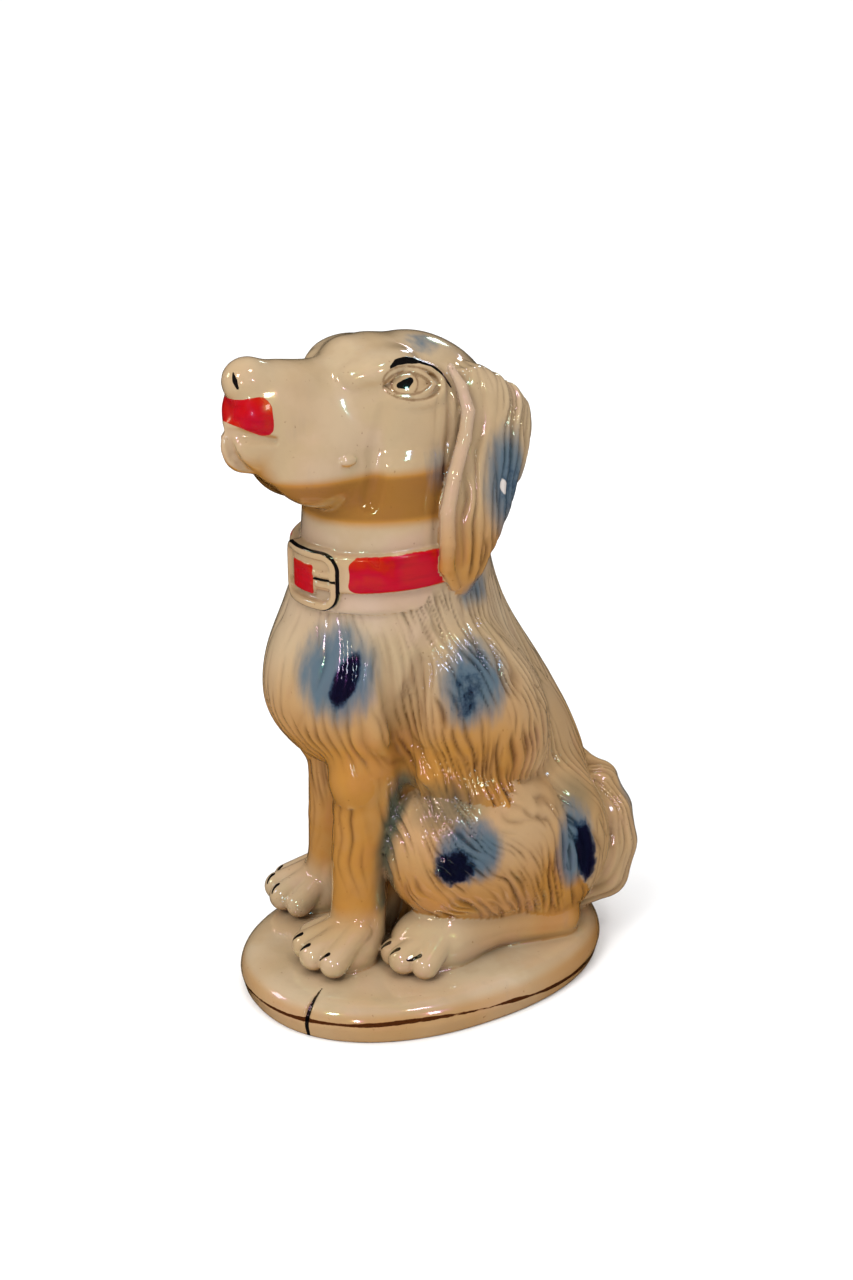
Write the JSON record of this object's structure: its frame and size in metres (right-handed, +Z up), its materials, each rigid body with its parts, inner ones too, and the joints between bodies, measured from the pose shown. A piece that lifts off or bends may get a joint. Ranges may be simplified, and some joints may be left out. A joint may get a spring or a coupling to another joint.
{
  "type": "ceramic dog figurine",
  "caption": "Seated glazed ceramic spaniel with lop ears, blue-grey spots and a red buckled collar, on an oval plinth with a gilt rim",
  "frame": {"origin": "middle of the whole figure's box, on the plane that the plinth rests on", "axes": "+Z up; the dog looks along -Y; +X is the dog's left side"},
  "size_m": [0.133, 0.1971, 0.3003],
  "materials": {
    "cream_glaze": "glossy lustre glaze, cream above and amber below",
    "eye_glaze": "glossy glaze with a painted black pupil",
    "red_overglaze": "red overglaze paint, satin to gloss",
    "buckle_glaze": "glossy glaze with black brush lines"
  },
  "bodies": {
    "root": {"plinth_shell": "cream_glaze", "torso_shell": "cream_glaze", "head_shell": "cream_glaze", "left_ear": "cream_glaze", "right_ear": "cream_glaze", "left_eye": "eye_glaze", "right_eye": "eye_glaze", "left_foreleg": "cream_glaze", "right_foreleg": "cream_glaze", "leg_web": "cream_glaze", "left_haunch": "cream_glaze", "right_haunch": "cream_glaze", "left_hind_foot": "cream_glaze", "right_hind_foot": "cream_glaze", "tail": "cream_glaze", "collar_band": "red_overglaze", "strap_end": "red_overglaze", "buckle_frame": "buckle_glaze", "buckle_prong": "buckle_glaze"}
  },
  "joints": []
}
